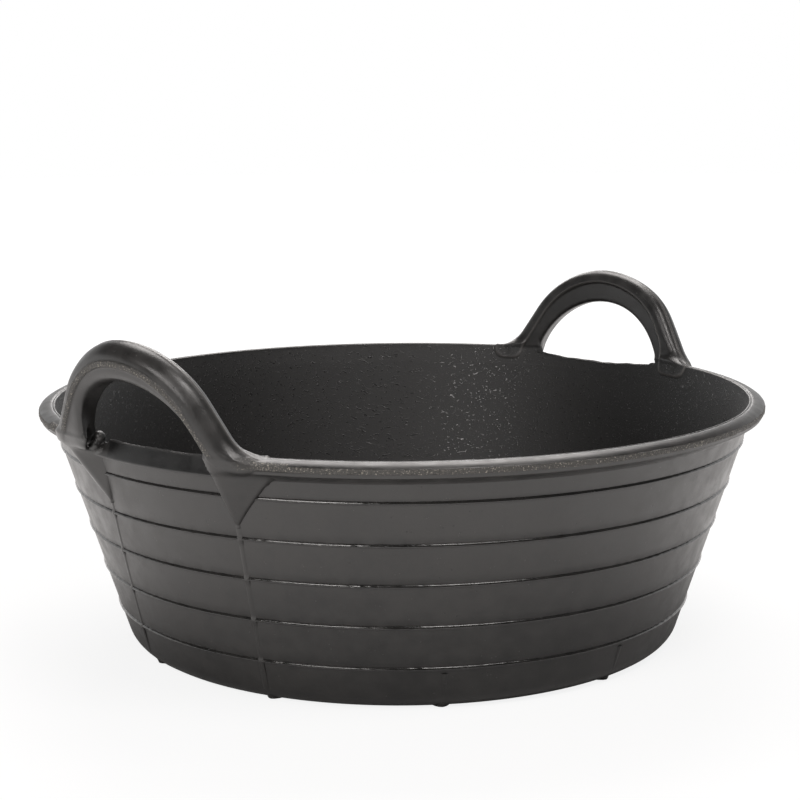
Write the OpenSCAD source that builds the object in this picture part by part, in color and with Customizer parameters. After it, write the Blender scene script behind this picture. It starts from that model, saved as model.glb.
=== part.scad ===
// Rubber feed tub: a round flared tub of lapped wall courses with a rolled rim
// and two arched hand grips that stand on the rim.
// Millimetres, +Z up, origin on the ground at the middle of the underside,
// grips on the X axis: the left one at -X, the right one at +X.

/* [Tub] */
// Outside diameter over the rim
rim_d = 500; // [420:1:620]
// Height of the rim's top above the ground
tub_h = 166.5; // [140:0.5:220]
// Lean of the wall out from the vertical, in degrees
wall_lean = 17.9; // [10:0.1:22]
// Thickness of the wall at a lap, measured level
wall_t = 6; // [4.5:0.1:9]
// Thickness of the floor
floor_t = 8; // [5:0.5:14]
// Outside radius of the rounded heel between wall and underside
heel_r = 15; // [10:0.5:20]
// Inside radius between floor and wall
floor_fillet_r = 8; // [6:0.5:20]
// Width of the heel strip's flat foot, between its curve and the floor blank
heel_foot_w = 9; // [4:0.5:20]

/* [Wall courses] */
// How far the lower edge of a course stands proud of the course below it
lap_step = 1.8; // [0.8:0.1:3]
// Rounding of that lower edge
lap_round = 1.2; // [0.4:0.1:2]
// Height of the upright lip above that edge
lap_lip = 3.2; // [2:0.1:6]

/* [Rim] */
// Width of the rim's flat top
rim_w = 11.2; // [9:0.1:18]
// Height of the rim strip, from its foot on the wall to its top
rim_h = 14; // [11:0.5:20]
// Height of the bead's outer face
bead_h = 8; // [5:0.5:10]
// Rounding of the rim's top edges
rim_edge_r = 1.4; // [0.5:0.1:2.5]

/* [Grips] */
// How far the middle of a grip lies outside the middle of the rim's top
grip_out = 1.6; // [-1:0.1:3]
// Depth of a grip, from its inner to its outer face
grip_d = 24; // [18:0.5:30]
// Height of a grip's crest above the rim
crest_h = 64.5; // [56:0.5:80]
// Radius of the crest's top arc
crest_r = 71.5; // [60:0.5:90]
// Slope of the grip's shoulders from the level, in degrees
shoulder_angle = 57; // [50:1:65]
// Radius of the flare that runs each shoulder out along the rim
flare_r = 26; // [16:0.5:34]
// Height of the half-round crown strip along the crest
crown_h = 11; // [8:0.5:14]
// How far the crown's edge stands proud of the faces below it
crown_flash = 0.7; // [0.2:0.1:1.5]
// Radius of the hand-hole's arch
hole_r = 62; // [50:0.5:70]
// Height of the grip's band between the crown and the hand-hole, at its middle
grip_h = 13.5; // [9:0.5:20]
// Rounding along the hand-hole's edges
hole_edge_r = 5; // [2:0.5:8]
// Height of the neck that bends where a grip stands on the rim
neck_h = 12; // [10:0.5:16]
// Lean of the left grip out from the vertical, in degrees
left_lean = 6; // [-10:0.5:15]
// Lean of the right grip out from the vertical, in degrees
right_lean = 3; // [-10:0.5:15]

/* [Sills] */
// How far the left sill, trimmed by hand, lies below the rim's top
left_sill_drop = 1; // [0.5:0.5:8]
// How far the right sill lies below the rim's top
right_sill_drop = 7; // [0.5:0.5:8]
// How far a sill's outer face is set back from the course below it
sill_recess = 1.4; // [0.5:0.1:2]

/* [Legs] */
// Height of a grip's outer leg below the rim's top
leg_h = 43; // [30:0.5:56]
// How far a leg's tip lies past the hand-hole's jamb, along the rim
leg_tip_out = 8.5; // [5:0.5:14]
// Width of a leg's inner facet at the rim
leg_facet_w = 5; // [2:0.5:9]
// Height of the pad on the wall's inner face under each grip end
pad_h = 9; // [5:0.5:13]

/* [Ribs] */
// Width of the seam rib under each leg
seam_w = 2.6; // [1.5:0.1:5]
// How far a seam rib stands proud of the lap edges
seam_rise = 0.8; // [0.3:0.1:2]
// Width of a heel rib where it meets the heel
heel_rib_w = 6; // [3:0.5:10]
// Width of a heel rib along its outer edge
heel_rib_edge_w = 1.6; // [0.8:0.1:3]

/* [Hidden] */
$fn = 180;

// Heights of the laps as shares of the tub's height
lap_shares = [0.176, 0.349, 0.518, 0.680, 0.846];
// Places of the heel ribs between the seams, round one half of the tub, in degrees from a grip's middle
heel_rib_angles = [48, 85, 124];
// Share of the pad's height at which its outline has drawn in half way
pad_mid_share = 0.6;
// Power of the curve that draws a leg's outer edge in to its tip
leg_curve_power = 2.2;
// Steps in a small rounding, in a grip's top arc, in one flare and down a leg
round_steps = 4;
arc_steps = 22;
flare_steps = 8;
leg_steps = 8;

rubber = [0.16, 0.155, 0.15];
rubber_dark = [0.10, 0.10, 0.10];
rubber_trimmed = [0.24, 0.23, 0.21];
degrees = 180 / PI;
rim_r = rim_d / 2;
rim_z = tub_h - rim_h;
lap_z = [for (share = lap_shares) share * tub_h];
half_d = grip_d / 2;
neck_z = tub_h + neck_h;
rim_mid_r = rim_r - rim_w / 2;
grip_r = rim_mid_r + grip_out;
hole_h = crest_h - crown_h - grip_h;
hole_centre = [0, hole_h - hole_r];
// Half the hand-hole's width at the rim's top: the sills end and the legs begin there
jamb_s = sqrt(hole_r * hole_r - hole_centre.y * hole_centre.y);
jamb_angle = jamb_s / grip_r * degrees;
// Where a shoulder leaves the top arc, and where its flare begins and ends on the rim
shoulder_top = crest_point(shoulder_angle);
flare_top_h = flare_r * (1 - cos(shoulder_angle));
flare_top_s = shoulder_top.x + (shoulder_top.y - flare_top_h) / tan(shoulder_angle);
flare_s = flare_top_s + flare_r * sin(shoulder_angle);
seam_s = jamb_s + leg_tip_out;
seam_angle = seam_s / grip_r * degrees;

// Inner and outer surface of the wall, at height z
function inner_r(z) = rim_r - rim_w - (tub_h - z) * tan(wall_lean);
function lap_r(z) = inner_r(z) + wall_t;
function set_back_r(z) = lap_r(z) - lap_step;
function arc(centre, r, from, to, steps) =
    [for (i = [0 : steps]) let (a = from + (to - from) * i / steps) centre + r * [cos(a), sin(a)]];

// Outlines of the ring-shaped pieces, as points of radius and height
heel_mid = [set_back_r(heel_r) - heel_r / cos(wall_lean), heel_r];
fillet_z = floor_t + floor_fillet_r;
fillet_mid = [inner_r(fillet_z) - floor_fillet_r / cos(wall_lean), fillet_z];
floor_r = heel_mid.x - heel_foot_w;
function heel_outline() = concat(
    [[floor_r, 0]],
    arc(heel_mid, heel_r, -90, -wall_lean, 2 * round_steps),
    [[set_back_r(lap_z[0]), lap_z[0]], [inner_r(lap_z[0]), lap_z[0]]],
    arc(fillet_mid, floor_fillet_r, -wall_lean, -90, 2 * round_steps),
    [[floor_r, floor_t]]);
function lap_edge(z) = concat(
    arc([lap_r(z) - lap_round, z + lap_round], lap_round, -90, 0, round_steps),
    [[lap_r(z), z + lap_lip]]);
function course_top(n) = n < len(lap_z) - 1 ? lap_z[n + 1] : rim_z;
function course_outline(n) = concat(
    [[inner_r(lap_z[n]), lap_z[n]]],
    lap_edge(lap_z[n]),
    [[set_back_r(course_top(n)), course_top(n)], [inner_r(course_top(n)), course_top(n)]]);
function rim_under() = [
    for (i = [0 : 2 * round_steps])
        let (a = 90 * i / (2 * round_steps))
        [set_back_r(rim_z) + (rim_r - set_back_r(rim_z)) * (1 - cos(a)), rim_z + (rim_h - bead_h) * sin(a)]];
function rim_top() = concat(
    arc([rim_r - rim_edge_r, tub_h - rim_edge_r], rim_edge_r, 0, 90, round_steps),
    arc([rim_r - rim_w + rim_edge_r, tub_h - rim_edge_r], rim_edge_r, 90, 180, round_steps));
function rim_outline() = concat([[inner_r(rim_z), rim_z]], rim_under(), rim_top());
function sill_outline(drop) =
    let (top = tub_h - drop, out = set_back_r(rim_z) - inner_r(rim_z) - sill_recess)
    concat(
        [[inner_r(rim_z), rim_z], [set_back_r(rim_z), rim_z]],
        [for (i = [0 : round_steps])
            let (a = 90 * i / round_steps)
            [set_back_r(rim_z) - sill_recess * sin(a), rim_z + sill_recess * (1 - cos(a))]],
        [[inner_r(top) + out, top - lap_round]],
        arc([inner_r(top) + out - lap_round, top - lap_round], lap_round, 0, 90, round_steps),
        [[inner_r(top), top]]);
// The whole tub's outer outline, closed at its axis
function skin_outline() = concat(
    [[0, 0]],
    arc(heel_mid, heel_r, -90, -wall_lean, 2 * round_steps),
    [[set_back_r(lap_z[0]), lap_z[0]]],
    [for (n = [0 : len(lap_z) - 1])
        each concat(lap_edge(lap_z[n]), [[set_back_r(course_top(n)), course_top(n)]])],
    rim_under(),
    [[rim_r, tub_h], [0, tub_h]]);

// A grip is drawn on a sheet that stands on the rim and is bent round the tub's axis:
// s runs along the rim, h up from its top and b outwards from the sheet
function on_sheet(s, h, b, lean) =
    let (r = grip_r + b + h * tan(lean), a = s / grip_r * degrees)
    [r * cos(a), r * sin(a), tub_h + h];
function crest_point(a) = [crest_r * sin(a), crest_h - crest_r + crest_r * cos(a)];
function flare_point(a) = [flare_s - flare_r * sin(a), flare_r * (1 - cos(a))];
// Stations along the crest from one flare's end to the other's: a point and its outward normal
function half_crest() = concat(
    [for (i = [0 : flare_steps])
        let (a = shoulder_angle * i / flare_steps) [flare_point(a), [sin(a), cos(a)]]],
    [for (i = [0 : arc_steps / 2])
        let (a = shoulder_angle * (1 - 2 * i / arc_steps)) [crest_point(a), [sin(a), cos(a)]]]);
function turn_over(list) = [
    for (i = [len(list) - 2 : -1 : 0])
        [[-list[i][0].x, list[i][0].y], [-list[i][1].x, list[i][1].y]]];
crest_stations = concat(half_crest(), turn_over(half_crest()));
// Past the shoulders the grip's depth draws in to the width of the rim
function tail_share(s) = min(1, max(0, (abs(s) - flare_top_s) / (flare_s - flare_top_s)));
function depth_at(s) = half_d + (rim_w / 2 - half_d) * tail_share(s);
function shift_at(s) = (rim_mid_r - grip_r) * tail_share(s);
function toward(from, to, length) = from + (to - from) * length / norm(to - from);
function sheet_point(st, p, b, lean) = on_sheet(p.x, p.y, b + shift_at(st[0].x), lean);

// Sections at a station: the crown strip, and the grip between it and the hand-hole
function crown_arc(st, lean) =
    let (base = st[0] - crown_h * st[1], hd = depth_at(st[0].x) + crown_flash)
    [for (i = [0 : 2 * round_steps + 1])
        let (a = 180 * i / (2 * round_steps + 1))
        sheet_point(st, base + (st[0] - base) * sin(a), -hd * cos(a), lean)];
function seat_points(st, lean) =
    let (base = st[0] - crown_h * st[1], hd = depth_at(st[0].x))
    [sheet_point(st, base, hd, lean), sheet_point(st, base, -hd, lean)];
function crown_section(st, lean) = concat(crown_arc(st, lean), seat_points(st, lean));
function grip_sides(st, lean) =
    let (base = st[0] - crown_h * st[1], hole = toward(hole_centre, base, hole_r),
         hd = depth_at(st[0].x), edge = min(hole_edge_r, hd, norm(base - hole) / 2))
    [for (side = [1, -1])
        for (i = [0 : round_steps - 1])
            let (a = 90 * (side > 0 ? i : round_steps - 1 - i) / (round_steps - 1))
            sheet_point(st, toward(hole, base, edge * (1 - sin(a))), side * (hd - edge * (1 - cos(a))), lean)];
function grip_section(st, lean) =
    let (seat = seat_points(st, lean))
    concat([seat[1], seat[0]], grip_sides(st, lean));
function whole_section(st, lean) =
    let (seat = seat_points(st, lean))
    concat(crown_arc(st, lean), [seat[0]], grip_sides(st, lean), [seat[1]]);

// One closed solid through a list of sections with the same number of points. A solid that
// seats on another one turns its diagonals, so that the facets of both match where they meet.
module loft(sections, turned = false) {
    n = len(sections);
    m = len(sections[0]);
    sides = [for (i = [0 : n - 2]) for (j = [0 : m - 1])
        let (k = (j + 1) % m, a = i * m + j, b = i * m + k, c = (i + 1) * m + k, d = (i + 1) * m + j)
        each turned ? [[a, b, d], [b, c, d]] : [[a, b, c], [a, c, d]]];
    start = [for (j = [1 : m - 2]) [0, j + 1, j]];
    finish = [for (j = [1 : m - 2]) [(n - 1) * m, (n - 1) * m + j, (n - 1) * m + j + 1]];
    polyhedron([for (s = sections) each s], concat(sides, start, finish));
}

module ring(outline, from = 0, turn = 360) {
    rotate([0, 0, from])
        rotate_extrude(angle = turn)
            polygon(outline);
}

// Keeps what lies between two heights
module between(low, high) {
    intersection() {
        children();
        translate([-rim_d, -rim_d, low])
            cube([2 * rim_d, 2 * rim_d, high - low]);
    }
}

module grip(lean) {
    between(neck_z, neck_z + crest_h)
        loft([for (st = crest_stations) grip_section(st, lean)]);
}

module crown(lean) {
    between(neck_z, neck_z + crest_h)
        loft([for (st = crest_stations) crown_section(st, lean)], turned = true);
}

module neck(lean, side) {
    half = [for (st = crest_stations) if (side * st[0].x > 0) st];
    between(tub_h, neck_z)
        loft([for (st = half) whole_section(st, lean)]);
}

// A leg hangs outside the wall: its face runs from the grip's outer face to the seam rib
module outer_leg(side) {
    seam_half = seam_w / 2;
    tip_z = tub_h - leg_h;
    difference() {
        loft([for (i = [0 : leg_steps])
            let (f = i / leg_steps, z = tub_h - leg_h * f, h = z - tub_h,
                 inner_s = jamb_s + (seam_s - seam_half - jamb_s) * f,
                 outer_s = seam_s + seam_half + (flare_s - seam_s - seam_half) * pow(1 - f, leg_curve_power),
                 face = half_d + (lap_r(tip_z) + seam_rise - grip_r - half_d) * f,
                 edge = max(lap_r(z) + seam_rise, rim_r * (1 - f) + lap_r(tip_z) * f) - grip_r,
                 ridge_s = min(inner_s + leg_facet_w * (1 - f), outer_s),
                 back = inner_r(tip_z) - grip_r)
            [for (q = [[inner_s, back], [inner_s, min(face, edge)], [ridge_s, max(face, edge)],
                       [outer_s, min(face, edge)], [outer_s, back]])
                on_sheet(side * q.x, h, q.y, 0)]]);
        ring(skin_outline());
    }
}

module inner_pad(side) {
    intersection() {
        loft([for (f = [0, pad_mid_share, 1])
            let (z = tub_h - pad_h * f, h = z - tub_h,
                 wall = inner_r(z) - grip_r,
                 face = -half_d + (wall + half_d) * f,
                 drawn = (flare_s - jamb_s) / 2 * f * f)
            [for (q = [[jamb_s + drawn, wall + wall_t], [flare_s - drawn, wall + wall_t],
                       [flare_s - drawn - half_d * (1 - f), face], [jamb_s + drawn, face]])
                on_sheet(side * q.x, h, q.y, 0)]]);
        ring([[0, rim_z], [inner_r(rim_z), rim_z], [inner_r(tub_h - rim_edge_r), tub_h - rim_edge_r],
              [inner_r(tub_h - rim_edge_r), tub_h], [0, tub_h]]);
    }
}

module leg(side) {
    outer_leg(side);
    inner_pad(side);
}

module rim_half() {
    ring(rim_outline(), jamb_angle, 180 - 2 * jamb_angle);
}

module sill(drop) {
    ring(sill_outline(drop), -jamb_angle, 2 * jamb_angle);
}

module at_left() {
    rotate([0, 0, 180])
        children();
}

module floor_blank() { color(rubber_dark) cylinder(h = floor_t, r = floor_r); }
module heel_course() { color(rubber) ring(heel_outline()); }
module wall_course(n) { color(rubber) ring(course_outline(n - 2)); }
module front_rim() { color(rubber_trimmed) at_left() rim_half(); }
module rear_rim() { color(rubber_trimmed) rim_half(); }
module left_sill() { color(rubber_dark) at_left() sill(left_sill_drop); }
module right_sill() { color(rubber_dark) sill(right_sill_drop); }
module left_front_leg() { color(rubber) at_left() leg(1); }
module left_rear_leg() { color(rubber) at_left() leg(-1); }
module right_front_leg() { color(rubber) leg(-1); }
module right_rear_leg() { color(rubber) leg(1); }

module seam_ribs() {
    color(rubber)
        for (a = [0, 180], side = [1, -1])
            rotate([0, 0, a + side * seam_angle])
                difference() {
                    intersection() {
                        translate([0, -seam_w / 2, heel_r])
                            cube([rim_r, seam_w, tub_h - leg_h - heel_r]);
                        ring([[0, 0], [lap_r(0) + seam_rise, 0], [lap_r(tub_h) + seam_rise, tub_h], [0, tub_h]]);
                    }
                    ring(skin_outline());
                }
}

module heel_ribs() {
    color(rubber)
        for (a = [0, 180], b = concat([-seam_angle, seam_angle], heel_rib_angles))
            rotate([0, 0, a + b])
                difference() {
                    intersection() {
                        linear_extrude(abs(b) == seam_angle ? heel_r : lap_z[0])
                            polygon([[heel_mid.x, -heel_rib_w / 2], [lap_r(lap_z[0]), -heel_rib_edge_w / 2],
                                     [lap_r(lap_z[0]), heel_rib_edge_w / 2], [heel_mid.x, heel_rib_w / 2]]);
                        ring([[0, 0], [lap_r(0), 0], [set_back_r(lap_z[0]), lap_z[0]], [0, lap_z[0]]]);
                    }
                    ring(skin_outline());
                }
}

module left_grip() { color(rubber) at_left() grip(left_lean); }
module left_crown() { color(rubber_trimmed) at_left() crown(left_lean); }
module left_front_neck() { color(rubber) at_left() neck(left_lean, 1); }
module left_rear_neck() { color(rubber) at_left() neck(left_lean, -1); }
module right_grip() { color(rubber) grip(right_lean); }
module right_crown() { color(rubber_trimmed) crown(right_lean); }
module right_front_neck() { color(rubber) neck(right_lean, -1); }
module right_rear_neck() { color(rubber) neck(right_lean, 1); }

floor_blank();
heel_course();
wall_course(2);  // wall_course_2
wall_course(3);  // wall_course_3
wall_course(4);  // wall_course_4
wall_course(5);  // wall_course_5
wall_course(6);  // wall_course_6
front_rim();
rear_rim();
left_sill();
right_sill();
left_front_leg();
left_rear_leg();
right_front_leg();
right_rear_leg();
seam_ribs();
heel_ribs();
left_grip();
left_crown();
left_front_neck();
left_rear_neck();
right_grip();
right_crown();
right_front_neck();
right_rear_neck();
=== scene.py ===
"""Looks of the rubber feed tub: moulded courses, a trimmed rim and two arched grips.

Lengths are in millimetres and angles in radians, unless a name or comment says otherwise.
Meshes are turned into metres as they are made.
"""

import math

import bpy
import numpy as np
from mathutils import Matrix, Vector


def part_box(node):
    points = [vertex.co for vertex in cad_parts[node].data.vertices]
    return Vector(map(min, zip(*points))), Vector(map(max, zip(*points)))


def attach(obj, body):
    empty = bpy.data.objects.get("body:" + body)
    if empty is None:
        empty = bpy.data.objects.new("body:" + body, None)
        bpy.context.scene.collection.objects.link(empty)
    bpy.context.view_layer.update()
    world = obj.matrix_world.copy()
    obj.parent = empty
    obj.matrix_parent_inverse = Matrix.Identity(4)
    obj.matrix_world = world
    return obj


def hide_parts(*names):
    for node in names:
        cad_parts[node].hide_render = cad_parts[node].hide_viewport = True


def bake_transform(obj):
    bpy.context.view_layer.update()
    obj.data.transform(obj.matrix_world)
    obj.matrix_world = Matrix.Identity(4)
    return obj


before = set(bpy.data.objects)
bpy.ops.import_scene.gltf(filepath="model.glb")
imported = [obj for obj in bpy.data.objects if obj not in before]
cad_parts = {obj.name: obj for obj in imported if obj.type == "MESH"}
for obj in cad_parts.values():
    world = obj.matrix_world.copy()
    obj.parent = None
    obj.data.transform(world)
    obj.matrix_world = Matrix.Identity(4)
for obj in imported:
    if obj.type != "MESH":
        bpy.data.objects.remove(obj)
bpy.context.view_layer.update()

MM = 0.001
LOW, HIGH = 0, 1


def reach(node, side, axis):
    """Where a CAD node begins or ends along an axis."""
    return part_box(node)[side]["xyz".index(axis)] / MM


# Sizes that the frame gives
COURSES = range(2, 7)
TUB_H = reach("front_rim", HIGH, "z")
RIM_Z = reach("front_rim", LOW, "z")
RIM_R = -reach("front_rim", LOW, "y")
LAP_Z = [reach(f"wall_course_{n}", LOW, "z") for n in COURSES]
FLOOR_T = reach("floor_blank", HIGH, "z")
FLOOR_R = reach("floor_blank", HIGH, "x")
CREST_H = reach("right_crown", HIGH, "z") - TUB_H

# Wall: lean, thickness at a lap, roundings of heel and floor, depth of joints, rings of the floor
WALL_LEAN = math.radians(17.9)
WALL_T = 6.0
HEEL_R = 15.0
FILLET_R = 8.0
JOINT_IN = 1.2
FLOOR_RINGS = (25, 60, 95, 130, 160)

# Lip along the lower edge of a course: a flank of facets that look upwards, each with an angle in
# degrees and a width, over a tight edge. It hangs a little over the course below, whose face is set in.
LIP_DROP = 1.6
LIP_OUT = 0.1
LIP_FACETS = ((14, 0.12), (22, 0.60), (30, 0.12), (37, 0.55), (46, 0.12))
LIP_EDGE_R = 0.8
LIP_TURN_DEG = 10.0
LIP_EDGE_DEG = -75.0
LIP_H = 2.6
LIP_BACK = 0.3
FACE_SET = 1.2

# Unevenness: sway out of round, dents of a face, ripple of a lip, crumbs and ragged foot of a trim
SWAY_OUT = 0.3
SWAY_WAVES = (2, 5)
DENT_OUT = 0.16
DENT_SIZE = 26
DENT_SHARE = 0.6
LIP_RIPPLE = 0.09
LIP_WAVES = (60, 320)
TRIM_ROUGH = 0.16
CRUMB_SIZE = 2.2
RAG_UP = 0.3
RAG_SIZE = 3.4
RAG_H = 0.5

# Rim: width, radii of its crowned top and edges, its groove as points outwards and down, the bow of
# its underside, the rough trimmed band and the smooth band under it
RIM_W = 11.2
RIM_CROWN_R = 12.0
RIM_EDGE_R = 2.0
RIM_EDGE_DEG = 50.0
RIM_INNER_R = 1.0
RIM_INNER_DEG = 75.0
RIM_INNER_COUNT = 5
RIM_GROOVE = ((1.5, 0.15), (1.1, 0.45), (0.6, 0.45))
RIM_BOW_OUT = 2.0
RIM_BOW_UP = 3.0
TRIM_H = 6.0
TRIM_STEP = 1.1
TRIM_LEDGE = 0.3
BAND_H = 8.6
BAND_SLOPE = 0.5
BAND_START = 0.4

# Grips, drawn on a sheet that stands on the rim: s along it, h up from its top, b outwards. A tail is
# the end of a grip that runs into the rim. A FADE is where a change begins and ends.
GRIP_SHIFT = 1.6
GRIP_R = RIM_R - RIM_W / 2 + GRIP_SHIFT
GRIP_HALF = 12.4
TAIL_HALF = RIM_W / 2 + 0.2
TAIL_SINK = 4
TAIL_FADE = (80, 98)
CREST_R = 71.5
CREST_OUT_FADE = (5, 60)
SHOULDER = math.radians(57)
FLARE_R = 26.0
SIDE_FADE = (-3, 3)
GRIP_ROUND = 3
GRIP_FOOT_H = 9.5
GRIP_FOOT_B = 13.4
GRIP_FOOT_SLOPE = 0.64
GRIP_FOOT_ROUND = 6

# Flash of the mould: a ridge along the crest, and a proud band over faces that are set in. A LINE is
# the middle and width of a soft line.
RIDGE_H = 0.5
RIDGE_LINE = (0.5, 0.8)
RIDGE_FADE = (3, 8)
FLASH_LOW = 11.2
FLASH_HIGH = 15.0
FLASH_EDGE = 0.4
FLASH_PROUD = 0.5
FLASH_STEP = 1.3
FLASH_FADE = (FLASH_HIGH - 0.3, FLASH_HIGH + 0.9)

# Crown on a grip's inner side: its depth, how it stands proud of the leaning band under it, and the
# tongues in which it ends on the wall, with a raised line along their edge
CROWN_DEPTH = 9
CROWN_THIN = 2
CROWN_SOFT = 1.0
CROWN_ROUND = 3
CROWN_END_ROUND = 8
CROWN_PROUD = 0.4
CROWN_WIDEN = 0.03
CROWN_SLANT = 0.22
CROWN_SLANT_FADE = (0, 10)
BAND_LEAN = 0.03
TONGUE_END = 93.0
TONGUE_H = 9.0
TONGUE_ROUND = 6
TONGUE_FOOT_ROUND = 9
TONGUE_RISE = 0.9
TONGUE_B_FADE = (-6, -3)
TONGUE_H_FADE = (2, 6)
TONGUE_S_FADE = (56, 60)
TONGUE_EDGE = 0.3
TONGUE_LINE = (-1.0, 0.8)

# Hand-hole: its arc, edges and slanting -s jamb. The sill under it is a ledge with a rounded nose, as
# points outwards and up, and a slanted face, whose top edge has waves of these heights and lengths.
HOLE_R = 62.0
HOLE_TOP = 40.0
HOLE_EDGE_IN = 6.5
HOLE_EDGE_OUT = 8.0
JAMB_SLANT = 1.2
JAMB_ROUND = 8
SILL_CORNER = 9.0
SILL_TIGHT = 0.05
SILL_LEDGE = 3.4
SILL_NOSE = ((-0.3, 0.0), (0.0, 0.4), (-0.2, 1.0))
SILL_SLANT = math.radians(17)
SILL_OVER = 6
SILL_WAVES = ((0.25, 6.5), (0.15, 2.7))
SILL_ROUND = 1.2
NOTCH_ROUND = 1.5
LUMP_ROUND = 1.2

# Zone of a grip, made as one skin: half its length, how its ends and foot sink in, how grip and rim
# join, the cell of its grid, and where its -s side is shifted
ZONE_S = 118.0
ZONE_FADE = 10.0
ZONE_PROUD = 0.06
ZONE_SUNK = 5 * ZONE_PROUD
ZONE_LAP = 12.0
ZONE_LOW_T = 2
ZONE_STEP = 2.5
ZONE_STEP_T = 2.2
ZONE_NECK = 0.7
FLUSH_FROM = RIM_Z - TUB_H + 0.5
RIM_JOIN = 0.5
RIM_JOIN_UP = 3.5
RIM_JOIN_FADE = (-3, 1)
CELL = 0.75
SHIFT_IN_FADE = (-ZONE_S, -98)
SHIFT_OUT_FADE = (-45, -5)

# Legs under a grip: height, top, facets, and how far they spread under the rim
LEG_H = 45.0
LEG_TOP_B = 12.3
LEG_TOP_H = 7.0
LEG_TOP_DEPTH = 5.0
LEG_FALL = 0.9
LEG_SPLAY = 0.8
LEG_SLOPE = 0.27
LEG_LEAN = 0.6
LEG_SPREAD = 40.0
LEG_CURVE = 1.1
LEG_SUNK = 4
LEG_ROUND = 2
LEG_RIDGE_ROUND = 2.5
LEG_JOIN = 3
FACET_FADE = (0, 0.4)

# Marks on a grip: where it is trimmed, where it is worn and painted with a highlight, on the inside, and
# where it is painted with shade below the sill's edge
FLASH_TRIM = (FLASH_LOW + 0.3, FLASH_HIGH + 0.2, 0.6)
FLASH_TRIM_B = 3
FLASH_TRIM_H = 2
RIM_TRIM = (-TRIM_H, 1, 0.5)
RIM_TRIM_B_FADE = (0.5, 2)
RIM_TRIM_S_FADE = (16, 36)
SILL_TRIM_W = 1.1
# Worn edges of the tongues and the crest, painted lighter as a painted highlight: line and limits
TONGUE_WEAR_HIGHLIGHT_LINE = (-0.4, 0.8)
TONGUE_WEAR_HIGHLIGHT_B = -2
TONGUE_WEAR_HIGHLIGHT_H = -12
CREST_WEAR_HIGHLIGHT_LINE = (0.5, 0.9)
CREST_WEAR_HIGHLIGHT_DEPTH = 2
INSIDE_T = 1.5
# Painted shade on the sill's face: where it begins, and how far under the sill's edge it stops
SILL_SHADE_FROM = RIM_Z - TUB_H + 0.6
SILL_SHADE_UNDER = 0.8

# Seam ridges: width and its wobble, rise over the wall, fall to the sides, and ends
SEAM_W = 3.6
SEAM_WOBBLE = 0.12
SEAM_WOBBLE_H = 9
SEAM_RISE = 0.5
SEAM_FALL = 0.5
SEAM_LOW = 8
SEAM_OVER = 3

# Fins round the heel: width, its share at the top and gain below, rise at foot and top, fall to the
# sides, ends, and places from a grip besides those under its seams
FIN_W = 13.0
FIN_TOP = 0.55
FIN_GAIN = 0.45
FIN_OUT = 0.8
FIN_RISE = 0.25
FIN_FALL = 5.0
FIN_LEAST_FALL = 2.0
FIN_LOW = 0.3
FIN_GAP = 4
FIN_FOOT = 2.0
FIN_DEGS = (48, 85, 124)

# All ribs: depth of their roots, and the spread over which the wall's steps are smoothed
RIB_ROOT = 1.5
RIB_LEAST = 0.3
SKIN_SPREAD = 1.2

# The two grips, with pairs for the +s and -s sides: place round the tub and lean, shift of the
# hand-hole and place of its -s jamb, shift of the -s side and rounding of its corner, tops and tips of
# the legs, facets beside the hand-hole as width and slopes above and below, wander of the seams, height
# of the sill, its rise to the ends and where it begins, how far the crest is drawn out on the -s side,
# where the tongues begin, and balls of missing and of spare rubber
PLAIN_FACET = (5.0, 0.8, 0.8)
GRIPS = {
    "left": {"turn": math.pi, "lean_deg": 6.0, "hole_shift": 0.0, "jamb_s": 36.0,
             "minus_shift": 3.3, "minus_corner": 2.0,
             "tops": (57.96, 42.0), "tips": (66.0, 54.0), "facets": (PLAIN_FACET, (30.0, 0.12, 0.62)),
             "wander": (-0.04, 0.28), "sill_h": -1.0, "sill_sag": 0.0, "sill_from": -38.0,
             "crest_out": 0.0, "tongues": (70.0, 66.0), "notches": ((-45.5, -1.0, -1.0, 8.0),),
             "lumps": ((-49.5, -2.0, -5.5, 3.9), (-48.5, -6.5, -1.5, 3.2))},
    "right": {"turn": 0.0, "lean_deg": 3.0, "hole_shift": -2.5, "jamb_s": 80.0,
              "minus_shift": 0.0, "minus_corner": 4.0,
              "tops": (57.96, 57.96), "tips": (66.0, 66.0), "facets": (PLAIN_FACET, PLAIN_FACET),
              "wander": (0.0, 0.0), "sill_h": -7.0, "sill_sag": 4.0, "sill_from": -56.0,
              "crest_out": 5.5, "tongues": (70.0, 61.0), "notches": (), "lumps": ()},
}

# Marks that the rubber material reads from a mesh
TRIM = "trim"
INSIDE = "inside"
LIP = "lip"
# Worn edges, also lightened as a painted highlight
WEAR_AND_HIGHLIGHT = "wear_and_highlight"
# Painted shade: the sill's face below its edge, painted near black
SILL_SHADE = "painted_sill_shade"


# Small mathematics
def smooth(low, high, x):
    """Rises from 0 at low to 1 at high."""
    t = np.clip((x - low) / (high - low), 0, 1)
    return t * t * (3 - 2 * t)


def band(low, high, edge, x):
    """1 between low and high, fading to 0 over the edge's width."""
    return smooth(low - edge, low + edge, x) * (1 - smooth(high - edge, high + edge, x))


def line(middle, width, x):
    """1 at a middle, fading softly to both sides."""
    return np.exp(-((x - middle) / width) ** 2)


def soft_max(a, b, k):
    gap = np.maximum(k - np.abs(a - b), 0)
    return np.maximum(a, b) + gap * gap / (4 * k)


def soft_min(a, b, k):
    return -soft_max(-a, -b, k)


def ripple(angle, seed, fewest, most, waves=24):
    """A closed ripple round the tub, about -1 to 1, of whole waves between two counts."""
    rng = np.random.RandomState(seed)
    counts = rng.randint(fewest, most + 1, waves)
    starts = rng.uniform(0, 2 * math.pi, waves)
    return np.sin(np.multiply.outer(angle, counts) + starts).sum(-1) / math.sqrt(waves)


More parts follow.
